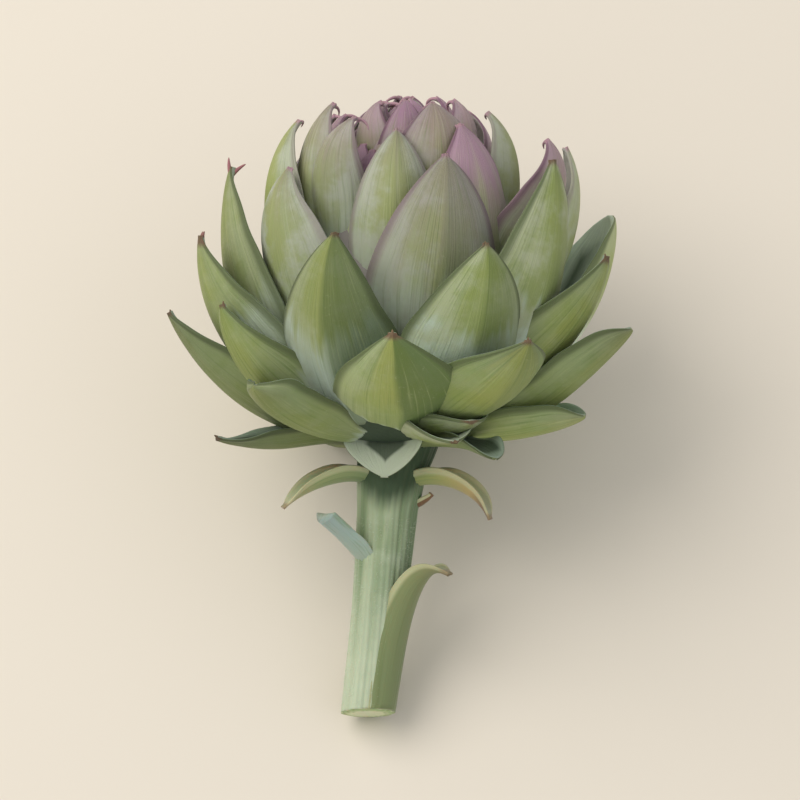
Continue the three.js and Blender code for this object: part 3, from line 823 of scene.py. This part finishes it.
def stem_rind():
    """Stem rind: ribbed skin under a short down. It looks pale and dull, with darker grooves, and
    painted shade: deep green under the head, and a deeper green down the side away from the light."""

    def build(tree):
        rib, down, around = kept(tree, "place")
        # Pale patches about 6 mm across, in the frame's metres.
        solid = add(tree, "TexCoord", {}, "Object")
        cloud = add(tree, "TexNoise", {"Vector": solid, "Scale": 160.0, "Detail": 4.0})
        # Streaks 1 mm apart: the turn about the stem, in radians, by its radius.
        turn = add(tree, "Math", {"operation": "MULTIPLY", 0: around, 1: 7.0})
        long = add(tree, "Math", {"operation": "MULTIPLY", 0: down, 1: 4.0})
        at = add(tree, "CombineXYZ", {"X": turn, "Y": long})
        fine = add(tree, "TexNoise", {"Vector": at, "Scale": 0.9, "Detail": 2.0})
        # Bands about 5 mm apart, greener where a leaf's foot runs down.
        broad_at = add(tree, "VectorMath", {"operation": "MULTIPLY", 0: at, 1: (0.2, 0.35, 1)})
        broad = add(tree, "TexNoise", {"Vector": broad_at, "Scale": 1.0, "Detail": 1.0})
        # Painted shade: the side away from the light is a deeper green.
        painted_shade_side = add(tree, "Math", {"operation": "COSINE", 0: around})
        painted_shade_side = add(tree, "Math", {"operation": "MULTIPLY_ADD", 0: fine, 1: 0.6, 2: painted_shade_side})
        # Painted shade under the head reaches furthest down the front, with a softly toothed edge.
        front = add(tree, "Math", {"operation": "ADD", 0: around, 1: math.pi / 2})
        front = add(tree, "Math", {"operation": "COSINE", 0: front})
        painted_neck_shade = add(tree, "Math", {"operation": "MULTIPLY_ADD", 0: fine, 1: 0.06, 2: down})
        painted_neck_shade = add(tree, "Math", {"operation": "MULTIPLY_ADD", 0: front, 1: -0.13, 2: painted_neck_shade})
        layers = [
            ("#A6B294", rib, (0.1, 0.9), 0.7),
            ("#7F936A", fine, (0.48, 0.75), 0.45),
            ("#6F8460", broad, (0.47, 0.66), 0.6),
            ("#BCC6AE", cloud, (0.48, 0.85), 0.4),
            ("#BEC8AE", down, (0.35, 0.95), 0.65),
            # painted shade down the side away from the light
            ("#5B7350", painted_shade_side, (0.6, 1.25), 0.7),
            # painted shade under the head
            ("#2F4429", painted_neck_shade, (0.2, 0.1), 0.95),
        ]
        bump = add(tree, "Bump", {"Height": fine, "Strength": 0.6, "Distance": 0.35 * MM})
        return {"Base Color": over(tree, "#8C9C78", layers), "Normal": bump}

    shader = {
        "IOR": 1.42,
        "Roughness": 0.72,
        "Subsurface Weight": 0.08,
        "Subsurface Scale": 1.2 * MM,
        "Sheen Weight": 0.3,
        "Sheen Roughness": 0.4,
    }
    return finished("stem_rind", build, shader)


def stem_leaf_skin():
    """Stem leaf: a thin, downy leaf. It looks dull and bluish while it is fresh, and turns yellow and
    then brown as it dries."""

    def build(tree):
        across, along, side = kept(tree, "place")
        dried, half, shade = kept(tree, "growth")
        # Streaks about 0.6 mm apart that run from foot to tip.
        at = add(tree, "CombineXYZ", {"X": across, "Y": along, "Z": dried})
        fine = add(tree, "TexNoise", {"Vector": at, "Scale": 1.7, "Detail": 3.0})
        fresh = add(tree, "ValToRGB", {"Fac": along, "stops": FRESH_LEAF})
        dryness = add(tree, "Math", {"operation": "MULTIPLY_ADD", 0: dried, 1: 2.0, 2: along})
        dryness = add(tree, "Math", {"operation": "SUBTRACT", 0: dryness, 1: 1.8})
        drying = add(tree, "ValToRGB", {"Fac": dryness, "stops": DRYING_LEAF})
        edge = add(tree, "Math", {"operation": "DIVIDE", 0: across, 1: half})
        edge = add(tree, "Math", {"operation": "ABSOLUTE", 0: edge})
        # A dried leaf is paler along its edges and brown at its tip.
        layers = [
            (drying, dried, None),
            ("#6F8553", fine, (0.5, 0.72), 0.55),
            ("#B6C2A4", side, None, 0.5),
            ("#5C6136", shade, None),
            ("#BEBD95", edge, (0.72, 0.92), dried, 0.8),
            ("#7A5F42", along, (0.93, 0.98), dried, 0.8),
        ]
        bump = add(tree, "Bump", {"Height": fine, "Strength": 0.6, "Distance": 0.25 * MM})
        return {"Base Color": over(tree, fresh, layers), "Normal": bump}

    shader = {
        "IOR": 1.42,
        "Roughness": 0.66,
        "Subsurface Weight": 0.15,
        "Subsurface Scale": 1.0 * MM,
        "Sheen Weight": 0.2,
    }
    return finished("stem_leaf", build, shader)


def cut_pith():
    """Cut stem: moist pith, sliced across. It looks pale and a little glossy inside a green rind, with
    a ring of small fibre bundles."""

    def build(tree):
        out, _, _ = kept(tree, "place")
        flesh = add(tree, "ValToRGB", {"Fac": out, "stops": PITH})
        # The bundles lie about 1.6 mm apart, in the frame's metres.
        solid = add(tree, "TexCoord", {}, "Object")
        bundles = add(tree, "TexVoronoi", {"Vector": solid, "Scale": 620.0}, "Distance")
        ring = add(tree, "MapRange", {0: out, 1: 0.5, 2: 0.72, **SOFT})
        skin = over(tree, flesh, [("#8E9E62", bundles, (0.42, 0.2), ring)])
        bump = add(tree, "Bump", {"Height": bundles, "Strength": 0.5, "Distance": 0.3 * MM})
        return {"Base Color": skin, "Normal": bump}

    shader = {
        "IOR": 1.4,
        "Roughness": 0.42,
        "Subsurface Weight": 0.25,
        "Subsurface Scale": 2.0 * MM,
    }
    return finished("cut_pith", build, shader)


def white_down():
    """Down: short white plant hairs. They are too fine to see one by one, but look pale along the
    edges, and a little greener in some tufts than in others."""

    def build(tree):
        # Tufts about 4 mm across, in the frame's metres.
        solid = add(tree, "TexCoord", {}, "Object")
        tuft = add(tree, "TexNoise", {"Vector": solid, "Scale": 1 / (4 * MM), "Detail": 2.0})
        return {"Base Color": over(tree, "#D9E0D0", [("#B4C29C", tuft, (0.42, 0.66), 0.7)])}

    return finished("white_down", build, {"IOR": 1.5, "Roughness": 0.6})


def matt_paper():
    """Paper: plain and uncoated. It looks pale and flat, with the faintest mottle."""

    def build(tree):
        mottle = add(tree, "TexNoise", {"Scale": 40.0, "Detail": 3.0})
        return {"Base Color": over(tree, PAPER, [("#FFFFFF", mottle, None, 0.03)])}

    return finished("matt_paper", build, {"IOR": 1.3, "Roughness": 0.9})


# ---- The pieces ------------------------------------------------------------------------------

PLAIN = (0.0, 0.0, 0.0)  # the coat or the wear of what has none


def coat_of(number):
    """How mauve, how bloomed and how yellowed a bract is."""
    flush = between(FLUSH_STATIONS, number)[0] * (1 + FLUSH_SPREAD * stray(number, "flush"))
    bloom = between(BLOOM_STATIONS, number)[0] * (1 + BLOOM_SPREAD * stray(number, "bloom"))
    yellow = YELLOW + YELLOW_SPREAD * stray(number, "yellow")
    return FLUSHED.get(number, flush), BLOOMED.get(number, bloom), YELLOWED.get(number, yellow)


def wear_of(number):
    """How sheltered, how streaked and how dry at the tip a bract is."""
    shelter = between(SHELTER_STATIONS, number)[0]
    stripes = STRIPES + STRIPES_SPREAD * stray(number, "stripes")
    return SHELTERED.get(number, shelter), stripes, TIPPED.get(number, TIP)


def bract_parts(first, last, stations=BRACT_STATIONS, fineness=BRACT_FINENESS):
    """The bracts from one number to another, each with its point if it has one."""
    parts = []
    for number in range(first, last + 1):
        plan = bract_plan(number, stations)
        tone = TONED.get(number, stray(number, "tone"))
        growth = (tone, plan["width"] / 2, SIDE_SHADE_BY_BRACT.get(number, PAINTED_SIDE_SHADE))
        own = (growth, coat_of(number), wear_of(number))
        parts.append((*blade(plan, *fineness), *own))
        if not plan["pointed"]:
            continue
        length, bend, swing = LONG_POINTS.get(number, POINT_LENGTH), POINT_BEND, 0
        if number >= CURLED:
            length = CURL_LENGTH * (1 + CURL_SPREAD * stray(number, "curl_length"))
            bend, swing = CURL_BEND, CURL_SWING * stray(number, "curl_swing")
        apart, twist = FORKED.get(number, (0, 0))
        blush = BLUSHED.get(number, 0)
        for split in (-apart, apart) if apart else (0,):
            parts.append((*point(plan, length, bend, (split, twist), swing, blush), *own))
    return parts


def make_head():
    outer = bract_parts(LOWEST, HEART - 1) + bract_parts(TUCKED, TUCKED, TUCKED_STATIONS)
    # The bowl is coloured all over with painted shade.
    outer += [(*turned(BOWL), BOWL_GROWTH, PLAIN, PLAIN)]
    green = bract_skin("waxy_green_bract", OUTER_COLOURS)
    make_piece("outer_bract_leaves", outer, "outer_bracts", [green])
    # The core is coloured all over with painted shade.
    heart = bract_parts(HEART, INNERMOST) + [(*turned(CORE), CORE_GROWTH, CORE_COAT, PLAIN)]
    mauve = bract_skin("waxy_mauve_bract", HEART_COLOURS)
    make_piece("heart_bract_leaves", heart, "heart_bracts", [mauve])
    inner = bract_parts(INNER_FIRST, INNER_LAST, INNER_STATIONS, INNER_FINENESS)
    make_piece("heart_inner_bracts", inner, "heart_bracts", [mauve])


def cut_height(y):
    """The height of the cut through the stem at a place from front to back."""
    return -STEM_LENGTH - y * math.tan(math.radians(CUT_LEAN))


def make_stem():
    angles = np.linspace(0, 2 * math.pi, STEM_AROUND, endpoint=False)
    heights = np.linspace(STEM_TOP, -STEM_LENGTH, STEM_ROWS + 1)
    rings = [stem_ring(height, angles) for height in heights]
    rib = np.abs(np.cos(RIBS * angles / 2))
    places = [np.stack([rib, np.full_like(rib, h / -STEM_LENGTH), angles], axis=1) for h in heights]
    # The cut face, in rings from the rind inwards, a little sunken in the middle.
    rim = rings[-1]
    middle = rim.mean(axis=0)
    lean = math.radians(CUT_LEAN)
    out_of_cut = np.array([0, -math.sin(lean), -math.cos(lean)])
    for row in range(1, CUT_ROWS + 1):
        share = 1 - row / (CUT_ROWS + 1)
        bulge = CUT_LIP * smooth(1, 0.8, share) - CUT_HOLLOW * smooth(0.7, 0, share)
        rings.append(middle + (rim - middle) * share + out_of_cut * bulge)
        places.append(np.tile([share, 1, 0], (STEM_AROUND, 1)))
    faces = tube_faces(len(rings), STEM_AROUND)
    shaft = (np.concatenate(rings), faces, np.concatenate(places))
    piece = make_piece("stem_shaft", [shaft], "stem", [stem_rind(), cut_pith()])
    for polygon in piece.data.polygons[STEM_ROWS * STEM_AROUND : -2]:
        polygon.material_index = 1
    piece.data.polygons[len(faces) - 1].material_index = 1

    leaves = []
    for i, row in enumerate(STEM_LEAVES):
        plan = stem_leaf_plan(STEM_LEAF_NUMBER + i, row)
        points, faces, places = blade(plan, *STEM_LEAF_FINENESS)
        # What hangs over the cut was cut off with the stem.
        points[:, 2] = np.maximum(points[:, 2], cut_height(points[:, 1]))
        growth = (row[-1], plan["width"] / 2, STEM_LEAF_SHADE.get(i, 0))
        leaves.append((points, faces, places, growth))
    make_piece("stem_small_leaves", leaves, "stem", [stem_leaf_skin()])
    make_piece("stem_down", [down_hairs()], "stem", [white_down()])


def down_hairs():
    """Short hairs over the stem, each a slender three-sided spike."""
    points, faces = [], []
    for i in range(HAIRS):
        turn = math.pi * (1 + stray(i, "hair_turn"))
        height = mix(HAIRS_FROM, -STEM_LENGTH + 1, (1 + stray(i, "hair_height")) / 2)
        root = Vector(stem_ring(height, np.array([turn]))[0])
        out = Vector((math.cos(turn), math.sin(turn), HAIR_STRAY * stray(i, "hair_rise"))).normalized()
        beside = Vector((-math.sin(turn), math.cos(turn), 0))
        along = out.cross(beside)
        length = HAIR_LENGTH * (1 + HAIR_STRAY * stray(i, "hair_length"))
        end = root + (out + HAIR_STRAY * beside * stray(i, "hair_lean")) * length
        root -= out * HAIR_ROOT
        corners = [root + beside * HAIR_WIDTH, root - beside * HAIR_WIDTH, root + along * HAIR_WIDTH]
        start = len(points)
        points += corners + [end]
        faces += [(start, start + 1, start + 3), (start + 1, start + 2, start + 3)]
        faces += [(start + 2, start, start + 3), (start, start + 2, start + 1)]
    return np.array(points), faces


# ---- The stage -------------------------------------------------------------------------------

VIEW_SPAN = 206  # what the picture takes in, top to bottom
VIEW_MIDDLE = (0, 0, 8.5)
SENSOR = 36.0
# From here on in metres.
CAMERA_AWAY = 1.3
FLOOR = 3.0  # from its middle to an edge
LIGHT_AWAY = 1.2
LIGHT_RAISED = 0.05
# Each light: where it comes from, as seen by the camera, to the right, up and back; its size, its
# power and its colour.
LIGHTS = {
    "key": ((-0.78, 0.72, 0.88), 1.1, 10.2, "#FFFAF2"),
    "fill": ((1.0, 0.1, 0.9), 1.2, 1.2, "#EAF0FF"),
}
ROOM = "#F1F1F0"
ROOM_STRENGTH = 0.79


def make_camera():
    """Looks straight at the front of the head, with its axis upright in the picture."""
    turn = LAID.to_3x3()
    back = (turn @ Vector((0, -1, 0))).normalized()
    up = (turn @ Vector((0, 0, 1))).normalized()
    right = up.cross(back)
    lens = bpy.data.cameras.new("camera")
    lens.sensor_width = SENSOR
    lens.lens = SENSOR * CAMERA_AWAY / (VIEW_SPAN * MM)
    camera = bpy.data.objects.new("camera", lens)
    camera.matrix_world = (
        Matrix.Translation(LAID @ Vector(VIEW_MIDDLE) + back * CAMERA_AWAY)
        @ Matrix((right, up, back)).transposed().to_4x4()
    )
    bpy.context.scene.collection.objects.link(camera)
    bpy.context.scene.camera = camera
    return right, up, back


def make_light(name, direction, size, power, colour):
    light = bpy.data.lights.new(name, "AREA")
    light.shape = "DISK"
    light.size = size
    light.energy = power
    light.color = linear(colour)[:3]
    lamp = bpy.data.objects.new(name, light)
    lamp.location = direction.normalized() * LIGHT_AWAY + Vector((0, 0, LIGHT_RAISED))
    lamp.rotation_euler = direction.to_track_quat("Z", "Y").to_euler()
    bpy.context.scene.collection.objects.link(lamp)


def make_stage():
    axes = make_camera()
    for name, (from_where, size, power, colour) in LIGHTS.items():
        direction = sum((share * axis for share, axis in zip(from_where, axes)), Vector())
        make_light(name, direction, size, power, colour)
    world = bpy.data.worlds.new("soft_room")
    bpy.context.scene.world = world
    world.use_nodes = True
    room = world.node_tree.nodes["Background"].inputs
    room["Color"].default_value = linear(ROOM)
    room["Strength"].default_value = ROOM_STRENGTH
    corners = [(-FLOOR, -FLOOR, 0), (FLOOR, -FLOOR, 0), (FLOOR, FLOOR, 0), (-FLOOR, FLOOR, 0)]
    mesh = bpy.data.meshes.new("floor")
    mesh.from_pydata(corners, [], [(0, 1, 2, 3)])
    mesh.materials.append(matt_paper())
    floor = bpy.data.objects.new("floor", mesh)
    bpy.context.scene.collection.objects.link(floor)
    bpy.context.scene.view_settings.view_transform = "Standard"


make_stage()
make_head()
make_stem()
